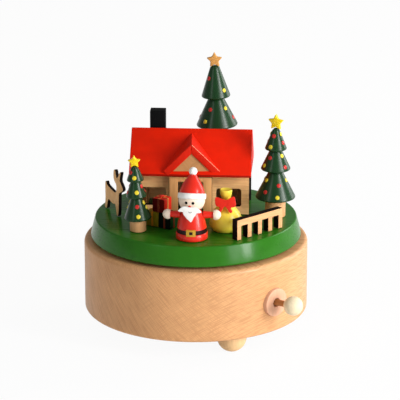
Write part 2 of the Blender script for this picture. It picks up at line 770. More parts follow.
def bare_wood(name, colour, run, rough=(0.5, 0.62)):
    """Bare or thinly oiled wood, sanded: streaks along the grain, 0.6 mm wide and 9 mm long."""
    material, tree, shader = new_material(name)
    grain = streaks(tree, run_along(BARE_STREAK, run), 0.35, 0.75, BARE_SLANT)
    clouds = streaks(tree, (0.008, 0.008, 0.006), 0.3, 0.7)
    tinted = mixed(tree, grain, two_tone(tree, clouds, colour, 0.93), shade(colour, 0.84))
    finish_surface(tree, shader, tinted, grain, -0.00003, rough, 0.3)
    return material


def plywood_face(name, woods, tone, rotation=(0, 0, 0)):
    """Birch-like plywood from a laser cutter: fine face grain, turned by degrees, unsealed and matt."""
    material, tree, shader = new_material(name)
    rotation = [math.radians(angle) for angle in rotation]
    grain = streaks(tree, PLYWOOD_STREAK, 0.42, 0.7, rotation)
    bands = streaks(tree, PLYWOOD_BAND, 0.35, 0.7, rotation)
    part = add_node(tree, "Math", {0: grain, 1: PLYWOOD_GRAIN_SHARE}, operation="MULTIPLY")
    colour = mixed(tree, part, two_tone(tree, bands, tone, 0.92), shade(woods.plywood_grain))
    finish_surface(tree, shader, colour, grain, -0.00004, (0.58, 0.7), 0.2)
    return material


def painted_wood(name, colour, rough, coat, run="X", depth=0.00003, contrast=0.9, specular=0.2):
    """Enamel on sanded wood: an even colour, faintly cloudy, with the grain just felt through it."""
    material, tree, shader = new_material(name)
    grain = streaks(tree, run_along(PAINTED_STREAK, run), 0.3, 0.75, PAINTED_SLANT)
    tone = two_tone(tree, streaks(tree, (0.006, 0.007, 0.005), 0.3, 0.7), colour, contrast)
    finish_surface(tree, shader, tone, grain, depth, (rough, rough + 0.08), specular, coat, 0.7 * rough)
    return material


def one_pattern(name, colour, share, size, spread, height, rough, specular=0.5, metallic=0.0):
    """A material whose shade, bump and roughness follow one pattern of the given size in metres."""
    material, tree, shader = new_material(name)
    pattern = streaks(tree, size, *spread)
    finish_surface(tree, shader, two_tone(tree, pattern, colour, share), pattern, height, rough, specular)
    shader.inputs["Metallic"].default_value = metallic
    return material


def scorched_edge(woods):
    """Plywood edge burnt by the laser: near black, the plies still showing as browner lines."""
    size, spread, rough = (0.0012, 0.0012, 0.0012), (0.4, 0.75), (0.6, 0.8)
    return one_pattern("laser_scorched_edge", woods.scorch, 3.2, size, spread, 0.00005, rough, 0.08)


def pressed_board(woods):
    """Hardboard, pressed: speckled brown fibre, 0.8 mm specks."""
    size, spread, rough = (0.0008, 0.0006, 0.0008), (0.35, 0.7), (0.7, 0.85)
    return one_pattern("pressed_hardboard", woods.hardboard, 0.72, size, spread, 0.00004, rough)


def dress(node, material):
    """A CAD solid whose shape is right keeps it, in a better finish."""
    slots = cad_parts[node].material_slots
    if not slots:
        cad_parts[node].data.materials.append(material)
    for material_slot in slots:
        material_slot.material = material


# Base


def base_outline():
    rim = corner(BASE_RADIUS, BASE_HEIGHT, BASE_RIM_ROUND, 90, 0, 10)
    edge = corner(BASE_RADIUS, 0.0, BASE_EDGE_ROUND, 0, -90, 6)
    ledge = COVER_THICKNESS + GAP
    inside = [(COVER_RADIUS + GAP, 0.0), (COVER_RADIUS + GAP, ledge), (CAVITY_RADIUS, ledge)]
    inside += [(CAVITY_RADIUS, CEILING), (ARBOR_HOLE_RADIUS, CEILING)]
    return [(ARBOR_HOLE_RADIUS, BASE_HEIGHT)] + rim + edge + inside


def rod_shape(radius, low, high, place, steps=32):
    return spun(((0.0, high), (radius, high), (radius, low), (0.0, low)), place, steps)


def screw_bores():
    """Clearance round the screws that go into the base, from where the CAD solids have them."""
    bores = []
    for name in SCREWS:
        low, high = (Vector(point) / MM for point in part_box(name))
        middle = (low + high) / 2
        head = (high.x - low.x) / 2 + GAP
        reach = (low.z - CUT_MARGIN, high.z + GAP)
        if name.startswith("movement"):
            reach = (low.z - GAP, high.z + CUT_MARGIN)
        bores.append(rod_shape(head, *reach, shift(middle.x, middle.y, 0), 16))
    return bores


def build_base(sizes, beech):
    shape = spun(base_outline(), STAND, sizes.turning_steps)
    outside = BASE_RADIUS + BORE_REACH
    cutters = [
        rod_shape(KNOB_ROD_RADIUS + GAP, CAVITY_RADIUS / 2, outside, KNOB_AXIS),
        rod_shape(WASHER_RADIUS + GAP / 3, WASHER_SEAT - GAP, outside, WASHER_AXIS, 64),
    ]
    shape = carved(shape, cutters + screw_bores())
    piece("turned_base", shape, [beech], "base", ["base_shell"], DISC_SHARP_ANGLE)


def build_washer(pink):
    profile = corner(WASHER_HOLE_RADIUS, WASHER_FACE, WASHER_HOLE_ROUND, 180, 90, 4)
    profile += corner(WASHER_RADIUS, WASHER_FACE, WASHER_ROUND, 90, 0, 5)
    profile += [(WASHER_RADIUS, WASHER_SEAT), (WASHER_HOLE_RADIUS, WASHER_SEAT)]
    piece("washer_ring", spun(profile, WASHER_AXIS, 64), [pink], "base", ["knob_washer"])


def foot_outline():
    start = math.degrees(math.asin((FOOT_BALL_DROP - GAP) / FOOT_BALL_RADIUS))
    end = -math.degrees(math.acos(FOOT_FLAT_RADIUS / FOOT_BALL_RADIUS))
    peg_top = COVER_THICKNESS - GAP
    peg = [(0.0, peg_top), (FOOT_PEG_RADIUS, peg_top), (FOOT_PEG_RADIUS, -GAP)]
    return peg + arc((0.0, -FOOT_BALL_DROP), FOOT_BALL_RADIUS, start, end, 24) + [(0.0, -LIFT)]


def build_feet(pale):
    for index, node in enumerate(("foot_front_right", "foot_back", "foot_left")):
        x, y = around(FOOT_CIRCLE, FOOT_FIRST_ANGLE + 360 / FOOT_COUNT * index)
        shape = spun(foot_outline(), STAND @ shift(x, y, 0), 48)
        piece(f"ball_{node}", shape, [pale], "base", [node])


def build_knob(pale, brown):
    centre = BASE_RADIUS + KNOB_BALL_STANDOFF
    steps = (
        (KNOB_ROD_RADIUS, centre, KNOB_COLLAR_OUTER),
        (KNOB_COLLAR_RADIUS, KNOB_COLLAR_OUTER, KNOB_COLLAR_INNER),
        (KNOB_NOSE_RADIUS, KNOB_COLLAR_INNER, KNOB_NOSE_TIP),
    )
    stem = [(radius, end) for radius, outer, inner in steps for end in (outer, inner)]
    stem = [(0.0, centre)] + stem + [(0.0, KNOB_NOSE_TIP)]
    piece("stop_dowel", spun(stem, KNOB_AXIS, 32), [brown], "stop_knob", ["knob_rod"])
    bore = KNOB_ROD_RADIUS + GAP / 3
    mouth = -math.degrees(math.acos(bore / KNOB_BALL_RADIUS))
    outline = arc((0.0, centre), KNOB_BALL_RADIUS, 90, mouth, 28)
    outline[0] = (0.0, centre + KNOB_BALL_RADIUS)
    outline += [(bore, centre + GAP), (0.0, centre + GAP)]
    piece("stop_ball", spun(outline, KNOB_AXIS, 48), [pale], "stop_knob", ["knob_ball"])


# Movement


def dress_movement():
    for name, (colour, rough, marks, nodes) in METALS.items():
        metal = one_pattern(name, linear(colour), 0.82, marks, (0.3, 0.7), 0.000015, rough, metallic=1.0)
        for node in nodes:
            dress(node, metal)


# Turntable


def build_turntable(sizes, green):
    top_z = TABLE_BOTTOM + TABLE_THICKNESS
    recess, hub = TABLE_BOTTOM + FLANGE_RECESS, TABLE_BOTTOM + FLANGE_HUB_RECESS
    profile = [(0.0, top_z)] + corner(TABLE_TOP_RADIUS, top_z, TABLE_ROUND, 90, 12, 8)
    profile += corner(TABLE_BOTTOM_RADIUS, TABLE_BOTTOM, TABLE_ROUND, 12, -90, 8)
    profile += [(FLANGE_RADIUS + GAP, TABLE_BOTTOM), (FLANGE_RADIUS + GAP, recess)]
    profile += [(FLANGE_HUB_RADIUS + GAP, recess), (FLANGE_HUB_RADIUS + GAP, hub), (0.0, hub)]
    shape = spun(profile, STAND, sizes.turning_steps)
    on_table("meadow_disc", shape, [green], ["turntable"], DISC_SHARP_ANGLE)


# Cottage


def window_cutter(centre):
    half = WINDOW_WIDTH / 2
    low = (centre - half, -CUT_MARGIN, TABLE_TOP + WINDOW_BOTTOM)
    high = (centre + half, WALL_THICKNESS + CUT_MARGIN, TABLE_TOP + WINDOW_TOP)
    return ease(block(low, high), WINDOW_CORNER * MM, 5)


def doorway_cutter(near, far):
    """Cuts a doorway through what stands between two depths."""
    half = DOOR_WIDTH / 2
    low = (HOUSE_CENTRE - half, near - CUT_MARGIN, TABLE_TOP - CUT_MARGIN)
    return block(low, (HOUSE_CENTRE + half, far + CUT_MARGIN, TABLE_TOP + DOOR_HEIGHT))


def stain_ends(shape, left, right):
    """Marks a wall's outer ends, beyond the side walls, as burnt on their faces too."""
    for place, side in ((left + SIDE_WALL_INSET, -1), (right - SIDE_WALL_INSET, 1)):
        geometry = shape.verts[:] + shape.edges[:] + shape.faces[:]
        bmesh.ops.bisect_plane(shape, geom=geometry, plane_co=metres((place, 0, 0)), plane_no=(side, 0, 0))
    low, high = (left + SIDE_WALL_INSET) * MM, (right - SIDE_WALL_INSET) * MM
    return mark_faces(shape, lambda face: not low < face.calc_center_median().x < high, 1)


def build_walls(sizes, level_ply, upright_ply, scorch, toasted):
    left, right = HOUSE_CENTRE - HOUSE_LENGTH / 2, HOUSE_CENTRE + HOUSE_LENGTH / 2
    top = TABLE_TOP + WALL_HEIGHT
    front = block((left, 0, SEAT), (right, WALL_THICKNESS, top))
    openings = [window_cutter(HOUSE_CENTRE + side * WINDOW_SETBACK) for side in (-1, 1)]
    front = carved(front, openings + [doorway_cutter(0, WALL_THICKNESS)])
    back = block((left, HOUSE_DEPTH - WALL_THICKNESS, SEAT), (right, HOUSE_DEPTH, top))
    half = PORCH_WIDTH / 2
    porch = block((HOUSE_CENTRE - half, -PORCH_REACH, SEAT), (HOUSE_CENTRE + half, -GAP, top))
    porch = carved(porch, [doorway_cutter(-PORCH_REACH, 0)])
    boards = [
        ("front_board", front, 1, [level_ply, scorch], "house_front_wall"),
        ("back_board", stain_ends(back, left, right), 1, [level_ply, scorch], "house_back_wall"),
        ("porch_board", porch, 1, [upright_ply, scorch], "house_porch"),
    ]
    near, far = WALL_THICKNESS + GAP, HOUSE_DEPTH - WALL_THICKNESS - GAP
    width = WALL_THICKNESS
    for side, start in (("left", left + SIDE_WALL_INSET), ("right", right - SIDE_WALL_INSET - width)):
        end_wall = block((start, near, SEAT), (start + width, far, top))
        boards.append((f"{side}_board", end_wall, 0, [upright_ply, toasted], f"house_{side}_wall"))
    for name, shape, axis, finishes, node in boards:
        shape = mark_cut_edges(ease(shape, sizes.board_ease), axis)
        on_table(name, shape, finishes, [node])


def roof_outline(grow=0.0):
    """The roof's side view as (depth, height), its slopes raised by grow for clearance."""
    ridge_y, back = HOUSE_DEPTH / 2, HOUSE_DEPTH + ROOF_BACK_REACH
    slope = (ROOF_HEIGHT - ROOF_EDGE) / (ridge_y + ROOF_EAVE_REACH)
    back_edge = ROOF_HEIGHT - (back - ridge_y) * slope
    low, rise = TABLE_TOP + ROOF_BOTTOM, grow * math.hypot(1, slope)
    return (
        (-ROOF_EAVE_REACH - grow, low - grow),
        (back + grow, low - grow),
        (back + grow, low + back_edge + rise - grow * slope),
        (ridge_y, low + ROOF_HEIGHT + rise),
        (-ROOF_EAVE_REACH - grow, low + ROOF_EDGE + rise - grow * slope),
    )


def roof_block(grow=0.0):
    length = HOUSE_LENGTH + 2 * ROOF_OVERHANG + 2 * grow
    place = shift(HOUSE_CENTRE + ROOF_OFFSET, 0, 0) @ turn(90) @ Y_TO_Z
    return moved(slab(roof_outline(grow), length), place)


def build_roof(red, eave_red):
    """The solid roof wedge; its low front edge is board edge, which takes the paint darker."""
    shape = ease(roof_block(), SOFT_EDGE * MM, SOFT_STEPS, 20.0)
    shape = mark_faces(shape, lambda face: face.normal.y < -0.8, 1)
    on_table("roof_wedge", shape, [red, eave_red], ["house_roof"])


def in_rubbed_edge(face):
    """True on the rounding between a right-hand board's front and its top."""
    normal = face.normal
    return 0.15 < normal.z < 0.95 and normal.x > 0.2 and normal.y > 0.2


def build_dormer(red, end_red, worn, left_ply, right_ply):
    """Two mitred boards and a gable of two veneers, glued on a little askew."""
    depth = HOUSE_DEPTH / 2 - DORMER_FRONT
    lean = DORMER_BOARD / math.sqrt(2)
    front_apex = shift(HOUSE_CENTRE + DORMER_OFFSET, DORMER_FRONT, TABLE_TOP + DORMER_HEIGHT)
    centre = front_apex @ turn(DORMER_TURN) @ turn(DORMER_NOD, "X")
    for side_name, side in (("left", -1), ("right", 1)):
        outer = (side * DORMER_HALF_SPAN, -DORMER_HALF_SPAN)
        inner = (side * (DORMER_HALF_SPAN - lean), outer[1] - lean)
        seam = side * GLUE_LINE
        outline = [(seam, -GLUE_LINE), outer, inner, (seam, -GLUE_LINE - 2 * lean)]
        board = ease(slab(outline, depth), SOFT_EDGE * MM, SOFT_STEPS)
        board = mark_faces(board, lambda face: face.normal.z > 0.9, 1)
        board = mark_faces(board, in_rubbed_edge, 2)
        board = moved(board, centre @ shift(0, depth / 2, 0) @ Y_TO_Z)
        board = carved(board, [roof_block(GLUE_LINE)])
        finishes = [red, end_red, worn]
        on_table(f"dormer_{side_name}_board", board, finishes, [f"dormer_roof_{side_name}"])
    build_gable(centre, -2 * lean - 2 * GLUE_LINE, left_ply, right_ply)


def build_gable(centre, apex, left_ply, right_ply):
    low = ROOF_BOTTOM + DORMER_GABLE_LIFT - DORMER_HEIGHT
    half = apex - low
    shape = slab([(0.0, apex), (-half, low), (half, low)], WALL_THICKNESS)
    seam_top, seam_foot = (Vector((x, apex - drop, 0)) for x, drop in (GABLE_SEAM_TOP, GABLE_SEAM_FOOT))
    across = (seam_foot - seam_top).cross(Vector((0, 0, 1)))
    geometry = shape.verts[:] + shape.edges[:] + shape.faces[:]
    bmesh.ops.bisect_plane(shape, geom=geometry, plane_co=seam_top * MM, plane_no=across)
    mark_faces(shape, lambda face: (face.calc_center_median() - seam_top * MM).dot(across) > 0, 1)
    shape = moved(shape, centre @ shift(0, DORMER_GABLE_RECESS + WALL_THICKNESS / 2, 0) @ Y_TO_Z)
    shape = carved(shape, [roof_block(GLUE_LINE)])
    on_table("gable_veneers", shape, [left_ply, right_ply], ["dormer_gable"])


def build_chimney(black):
    near = HOUSE_DEPTH / 2 + CHIMNEY_SETBACK
    half = CHIMNEY_WIDTH / 2
    low = (CHIMNEY_CENTRE - half, near, TABLE_TOP + ROOF_BOTTOM)
    high = (CHIMNEY_CENTRE + half, near + CHIMNEY_DEPTH, TABLE_TOP + CHIMNEY_HEIGHT)
    shape = carved(ease(block(low, high), SOFT_EDGE * MM, SOFT_STEPS), [roof_block(GLUE_LINE)])
    on_table("chimney_block", shape, [black], ["chimney"])


# Trees


def crown_outline(tiers, crown_top):
    """Three cones on top of each other, each with a rounded lower edge and a dished underside."""
    tip = tiers[-1][2]
    dome = arc((0.0, 0.0), 1.0, 90, 0, 5)
    outline = [((tip - CROWN_DOME_INSET) * x, crown_top + CROWN_DOME * z) for x, z in dome]
    outline[0] = (0.0, crown_top + CROWN_DOME)
    outline += corner(tip, crown_top, CROWN_TIP_ROUND, 90, 15, 4)
    for index in range(len(tiers) - 1, -1, -1):
        low, radius, _ = tiers[index]
        outline += corner(radius, low, TIER_ROUND, 20, -90, 8)
        if index:
            neck = tiers[index - 1][2]
            out, up = NECK_FLARE
            outline += [(neck + out, low + up), (neck, low - TIER_UNDERCUT)]
    return outline + [(0.0, tiers[0][0])]


def flank(tiers, crown_top, height):
    """The crown's radius at a height, and how far its flank leans out, as an angle in radians."""
    index = max(i for i, tier in enumerate(tiers) if tier[0] <= height)
    low, radius, neck = tiers[index]
    foot = low + FLANK_START * TIER_ROUND
    high = tiers[index + 1][0] - TIER_UNDERCUT if index + 1 < len(tiers) else crown_top
    slope = (radius - neck) / (high - foot)
    return radius - slope * (height - foot), math.atan(slope)


def dots(tree, places, sizes):
    """Painted dots as low blobs on the crown's flank; the far side repeats the near one."""
    blobs = []
    for height, degrees in places:
        radius, lean = flank(tree["tiers"], tree["crown_top"], height)
        for side in (0.0, 180.0):
            facing = turn(degrees + side) @ shift(0, -radius, height) @ Matrix.Rotation(-lean, 4, "X")
            blobs.append(ball(sizes.dot_radius / MM, facing, sizes.dot_height / sizes.dot_radius))
    return merged(blobs)


def star_outline(radius):
    """Five points and the notches between them, from the top point on."""
    points = []
    for index in range(10):
        reach = radius if index % 2 == 0 else radius * STAR_WAIST
        angle = math.radians(90 + 36 * index)
        points.append((reach * math.cos(angle), reach * math.sin(angle)))
    return points


def build_tree(name, sizes, looks, star_looks):
    """A trunk, a turned crown with painted dots, and a star on top."""
    tree = TREES[name]
    radius, height = tree["trunk"]
    seat = shift(*tree["place"], TABLE_TOP)
    trunk = [(0.0, height), (radius, height)] + corner(radius, GAP, TRUNK_ROUND, 0, -90, 3) + [(0.0, GAP)]
    on_table(f"{name}_stump", spun(trunk, seat, 48), [looks["trunk"]], [f"{name}_trunk"])
    tilted = seat @ shift(0, 0, height) @ turn(tree["lean"], "Y") @ shift(0, 0, -height)
    crown = spun(crown_outline(tree["tiers"], tree["crown_top"]), tilted)
    on_table(f"{name}_fir", crown, [looks["fir"]], [f"{name}_crown"])
    for colour, slot in (("red", "coat_red"), ("yellow", "yellow")):
        painted = moved(dots(tree, tree[f"{colour}_dots"], sizes), tilted)
        on_table(f"{name}_{colour}_dots", painted, [looks[f"{colour}_dots"]])
    star_radius, turned_by = tree["star"]
    middle = tree["crown_top"] + GAP + star_radius * math.cos(math.radians(36))
    shape = ease(slab(star_outline(star_radius), STAR_THICKNESS), sizes.star_ease, SOFT_STEPS)
    shape = moved(shape, tilted @ shift(0, 0, middle) @ turn(turned_by) @ Y_TO_Z)
    on_table(f"{name}_top_star", shape, star_looks, [f"{name}_star"])


# Flat cut-outs


def build_cut_out(node, outline, thickness, place, heading, sizes, finishes):
    """A laser-cut board that stands on the turntable, its edges eased and burnt as material 1."""
    seat = shift(*place, SEAT) @ turn(heading) @ shift(0, thickness / 2, 0) @ Y_TO_Z
    shape = mark_cut_edges(ease(slab(outline, thickness), sizes.board_ease), 2)
    on_table(f"{node}_cut_out", moved(shape, seat), finishes, [node])


def fence_outline():
    under_rail = FENCE_HEIGHT - FENCE_RAIL
    pitch = (FENCE_LENGTH - FENCE_POST_WIDTH) / (FENCE_POSTS - 1)
    points = [(FENCE_LENGTH, FENCE_HEIGHT), (0.0, FENCE_HEIGHT)]
    for post in range(FENCE_POSTS):
        left, right = post * pitch, post * pitch + FENCE_POST_WIDTH
        if post:
            points.append((left, under_rail))
        points += [(left, 0.0), (right, 0.0)]
        if post < FENCE_POSTS - 1:
            points.append((right, under_rail))
    return points


# Presents


def ribbon_round(low, high):
    """Two flat bands round a box, crossing on its top, each a closed thin block."""
    (x0, y0, z0), (x1, y1, z1) = low, high
    mid_x, mid_y, half, proud = (x0 + x1) / 2, (y0 + y1) / 2, RIBBON_WIDTH / 2, RIBBON_THICKNESS
    along = block((x0 - proud, mid_y - half, z0 + GLUE_LINE), (x1 + proud, mid_y + half, z1 + proud))
    across = block((mid_x - half, y0 - proud, z0 + GLUE_LINE), (mid_x + half, y1 + proud, z1 + proud))
    return merged([ease(along, RIBBON_EASE * MM, 1), ease(across, RIBBON_EASE * MM, 1)])


def ribbon_bow(middle, top, size):
    """A small bow of two flattened loops and a knot, lying on a box."""
    x, y = middle
    out, up = LOOP_PLACE
    loops = []
    for side in (-1, 1):
        place = shift(x + side * size * out, y, top + size * up) @ turn(side * LOOP_TILT, "Y")
        loop = ball(size * LOOP_RADIUS, place)
        bmesh.ops.scale(loop, vec=LOOP_SQUASH, space=place.inverted(), verts=loop.verts)
        loops.append(loop)
    return merged(loops + [ball(size * KNOT_RADIUS, shift(x, y, top + size * KNOT_HEIGHT))])


def on_end_grain(face):
    return face.normal.x < -0.7


def build_present(place, name, start, low, height, looks):
    """A cube whose left face is end grain, with its ribbon, both darker there."""
    width = PRESENT_WIDTH
    box_low, box_high = (0, start, low), (width, start + width, low + height)
    box = mark_faces(ease(block(box_low, box_high), PRESENT_ROUND * MM, SOFT_STEPS), on_end_grain, 1)
    on_table(f"{name}_box", moved(box, place), looks["box"], [name])
    band = mark_faces(ribbon_round(box_low, box_high), on_end_grain, 1)
    on_table(f"{name}_ribbon", moved(band, place), looks["ribbon"])


def build_presents(looks):
    """Two boxes side by side and one on top of both, with a bow."""
    place = shift(*PRESENT_CORNER, TABLE_TOP) @ turn(PRESENT_HEADING)
    step, lower, upper = PRESENT_WIDTH + GAP, PRESENT_LOWER_HEIGHT, PRESENT_UPPER_HEIGHT
    upper_low = 2 * GAP + lower
    build_present(place, "present_green", 0.0, GAP, lower, looks["green"])
    build_present(place, "present_yellow", step, GAP, lower, looks["yellow"])
    build_present(place, "present_red", step / 2, upper_low, upper, looks["red"])
    middle = (PRESENT_WIDTH / 2, step / 2 + PRESENT_WIDTH / 2)
    bow = ribbon_bow(middle, upper_low + upper, RIBBON_BOW)
    on_table("present_red_bow", moved(bow, place), [looks["red"]["box"][0]])


# Father Christmas figure


def figure_outline():
    low, high, shoulder = FIGURE_BELT_BOTTOM, FIGURE_BELT_TOP, FIGURE_SHOULDER_HEIGHT
    side = (FIGURE_SHOULDER_RADIUS, shoulder - FIGURE_SHOULDER_DROP)
    side = softened((side, *FIGURE_CHEST, (FIGURE_WAIST_RADIUS, high)), 3, False)
    head = corner(FIGURE_SHOULDER_RADIUS, shoulder, FIGURE_SHOULDER_ROUND, 90, 10, 6)
    belt = [(FIGURE_BELT_RADIUS, high - FIGURE_BELT_ROUND), (FIGURE_BELT_RADIUS, low + FIGURE_BELT_ROUND)]
    skirt = [(FIGURE_BASE_RADIUS - inset, low - drop) for inset, drop in FIGURE_HIP]
    foot = corner(FIGURE_BASE_RADIUS, GAP, FIGURE_FOOT_ROUND, 0, -90, 5)
    return [(0.0, shoulder)] + head + side[1:] + belt + skirt + foot + [(0.0, GAP)]


def build_body(seat, red, belt):
    def in_belt(face):
        height = (face.calc_center_median().z - seat.translation.z) / MM
        return FIGURE_BELT_BOTTOM < height < FIGURE_BELT_TOP

    shape = mark_faces(spun(figure_outline(), seat), in_belt, 1)
    on_table("coat", shape, [red, belt], ["figure_body"])


def buckle_part(half_width, half_height, thickness):
    """A flat plate, cut across often enough to bend, in the buckle's plane."""
    half = thickness / 2
    shape = block((-half_width, -half, -half_height), (half_width, half, half_height))
    bmesh.ops.subdivide_edges(shape, edges=shape.edges, cuts=6, use_grid_fill=True)
    return shape


def build_buckle(seat, gold, belt):
    """A square gold frame over a belt-coloured field."""
    half_width, half_height = BUCKLE_OPENING
    plate = buckle_part(BUCKLE_WIDTH / 2, BUCKLE_HEIGHT / 2, BUCKLE_THICKNESS)
    frame_shape = carved(plate, [buckle_part(half_width, half_height, 2 * BUCKLE_THICKNESS)])
    place = seat @ shift(0, 0, BUCKLE_MIDDLE)
    golden = wrapped(frame_shape, BUCKLE_RADIUS)
    on_table("belt_buckle", moved(golden, place), [gold])
    edge, thickness = BUCKLE_FIELD_EDGE, BUCKLE_FIELD_SHARE * BUCKLE_THICKNESS
    field = wrapped(buckle_part(half_width + edge, half_height + edge, thickness), BUCKLE_RADIUS)
    on_table("buckle_field", moved(field, place), [belt])


def head_frame(seat):
    return seat @ shift(0, 0, HEAD_HEIGHT) @ turn(HEAD_TURN) @ turn(-HEAD_TILT, "X")


def build_head(seat, cream, black, red):
    """A turned ball head under the hat, two eyes, and a small red nose."""
    place = head_frame(seat)
    neck = HEAD_HEIGHT - FIGURE_SHOULDER_HEIGHT - GAP - NECK_HEIGHT
    neck = -math.degrees(math.asin(neck / HEAD_RADIUS))
    crown_height = HAT_BAND_LOW - GLUE_LINE
    face = arc((0.0, 0.0), HEAD_RADIUS, math.degrees(math.asin(crown_height / HEAD_RADIUS)), neck, 28)
    outline = [(0.0, crown_height)] + face + [(0.0, face[-1][1])]
    on_table("face_ball", spun(outline, place), [cream], ["figure_head"])
    eyes = []
    for side in (-1, 1):
        facing = place @ turn(side * EYE_SPREAD) @ turn(EYE_DROP, "X") @ shift(0, -HEAD_RADIUS, 0)
        eyes.append(ball(EYE_RADIUS, facing, EYE_SQUASH))
    on_table("eyes", merged(eyes), [black])
    nose_place = place @ turn(NOSE_DROP, "X") @ shift(0, -HEAD_RADIUS, 0)
    on_table("nose", ball(NOSE_RADIUS, nose_place, NOSE_SQUASH), [red])


def build_hat(seat, red, white):
    place = head_frame(seat)
    band = [(0.0, HAT_BAND_HIGH)] + corner(HAT_BAND_RADIUS, HAT_BAND_HIGH, HAT_BAND_ROUND, 90, 0, 6)
    band += corner(HAT_BAND_RADIUS, HAT_BAND_LOW, HAT_BAND_ROUND, 0, -90, 6) + [(0.0, HAT_BAND_LOW)]
    on_table("hat_band", spun(band, place), [white], ["figure_hat"])
    cone = [(0.0, HAT_TIP)] + softened(HAT_SIDE, 3, False) + [(0.0, HAT_BAND_HIGH)]
    on_table("hat_cone", spun(cone, place), [red], ["figure_hat"])
    pompom = ball(POMPOM_RADIUS, place @ shift(0, 0, HAT_TIP + POMPOM_RADIUS * POMPOM_RISE))
    on_table("hat_pompom", pompom, [white], ["figure_hat"])


def build_arms(seat, red, cream):
    shoulder, wrist = FIGURE_BASE_RADIUS - SLEEVE_INSET, HAND_CENTRE - HAND_CUT
    cut_angle = -math.degrees(math.asin(HAND_CUT / HAND_RADIUS))
    fist = arc((0.0, HAND_CENTRE), HAND_RADIUS, 90, cut_angle, 16)
    fist = [(0.0, HAND_CENTRE + HAND_RADIUS)] + fist[1:] + [(0.0, wrist)]
    for side_name, side in (("left", -1), ("right", 1)):
        outward = seat @ shift(0, 0, ARM_HEIGHT) @ turn(90.0 * side, "Y")
        sleeve = [(0.0, wrist), (ARM_RADIUS, wrist), (ARM_SHOULDER_RADIUS, shoulder), (0.0, shoulder)]
        node = f"figure_arm_{side_name}"
        on_table(f"{side_name}_sleeve", spun(sleeve, outward, 40), [red], [node])
        on_table(f"{side_name}_hand", spun(fist, outward, 40), [cream], [node])


def build_beard(seat, white, grey):
    """A flat beard with rounded edges, and a short curved line for the mouth."""
    front = seat @ turn(HEAD_TURN) @ shift(0, -BEARD_STANDOFF - BEARD_THICKNESS / 2, 0) @ Y_TO_Z
    shape = ease(slab(BEARD_OUTLINE, BEARD_THICKNESS), SMALL_EDGE * MM)
    on_table("beard_plate", moved(shape, front), [white], ["figure_beard"])
    x, z = MOUTH_PLACE
    outline = []
    for rise, radius, start, end in MOUTH_ARCS:
        outline += arc((x, z + rise), radius, start, end, 8)
    smile = moved(slab(outline, MOUTH_THICKNESS), front @ shift(0, 0, BEARD_THICKNESS / 2))
    on_table("mouth_line", smile, [grey])


# Sack


def build_sack(yellow, red):
    seat = shift(*SACK_PLACE, SEAT)
    lip = softened(SACK_PROFILE[1:-1], 3, False)
    outline = [SACK_PROFILE[0]] + lip + [SACK_PROFILE[-1]]
    on_table("sack_body", spun(outline, seat), [yellow], ["sack"])
    place = seat @ shift(0, -BOW_STANDOFF, BOW_HEIGHT) @ turn(-BOW_LEAN, "X") @ Y_TO_Z
    flat = ease(slab(softened(BOW_OUTLINE, 1), BOW_THICKNESS), SMALL_EDGE * MM)
    on_table("bow_loops", moved(flat, place), [red], ["sack_bow"])


# Stage


def seen_directly(tree):
    """1 for what the camera, a reflection or a clear piece sees, 0 for light on its way to a surface."""
    path = add_node(tree, "LightPath").outputs
    seen = add_node(tree, "Math", {0: path["Is Camera Ray"], 1: path["Is Glossy Ray"]}, operation="MAXIMUM")
    return add_node(tree, "Math", {0: seen, 1: path["Is Transmission Ray"]}, operation="MAXIMUM")


def show_white(tree, shader):
    """Most of what is seen of the floor is plain white; the rest keeps the object's shadow."""
    share = add_node(tree, "Math", {0: seen_directly(tree), 1: WHITE_SHARE}, operation="MULTIPLY")
    glow = add_node(tree, "Emission", {"Color": (1, 1, 1, 1), "Strength": 1.0})
    blend = add_node(tree, "MixShader", {0: share, 1: shader, 2: glow})
    tree.links.new(blend.outputs[0], tree.nodes["Material Output"].inputs["Surface"])


def build_floor(stage):
    shape = bmesh.new()
    bmesh.ops.create_grid(shape, x_segments=4, y_segments=4, size=FLOOR_REACH)
    floor = as_object("floor", shape)
    material, tree, shader = new_material("plain_white_paper")
    shader.inputs["Roughness"].default_value = 0.9
    fibres = streaks(tree, (0.004, 0.004, 0.004), 0.3, 0.7)
    tree.links.new(two_tone(tree, fibres, stage.floor, 0.985), shader.inputs["Base Color"])
    show_white(tree, shader)
    floor.data.materials.append(material)


def build_sky(stage):
    """Even pale light all round; the camera never looks past the floor."""
    world = bpy.data.worlds.new("white_surround")
    world.use_nodes = True
    background = world.node_tree.nodes["Background"]
    background.inputs["Color"].default_value = (1, 1, 1, 1)
    background.inputs["Strength"].default_value = stage.sky_strength
    bpy.context.scene.world = world


def add_lamp(name, power):
    """A soft lamp that points at the music box."""
    azimuth, elevation, size = LAMPS[name]
    target = Vector((0.0, 0.0, LAMP_TARGET))
    x, y = around(math.cos(math.radians(elevation)), azimuth)
    place = target + LAMP_DISTANCE * Vector((x, y, math.sin(math.radians(elevation))))
    light = bpy.data.lights.new(name, "AREA")
    light.shape = "RECTANGLE"
    light.size, light.size_y = size
    light.energy = power
    lamp = bpy.data.objects.new(name, light)
    bpy.context.scene.collection.objects.link(lamp)
    facing = (target - place).to_track_quat("-Z", "Y").to_matrix().to_4x4()
    lamp.matrix_world = Matrix.Translation(place) @ facing


def build_camera():
    camera = bpy.data.cameras.new("photo_camera")
    camera.sensor_width = CAMERA_FRAME
    camera.lens = CAMERA_FOCAL
    camera.clip_start, camera.clip_end = 0.05, 20.0
    obj = bpy.data.objects.new("photo_camera", camera)
    bpy.context.scene.collection.objects.link(obj)
    forward = Vector(CAMERA_FORWARD).normalized()
    right = forward.cross(Vector((0, 0, 1))).normalized()
    rotation = Matrix((right, right.cross(forward), -forward)).transposed()
    obj.matrix_world = Matrix.Translation(CAMERA_PLACE) @ rotation.to_4x4()
    bpy.context.scene.camera = obj


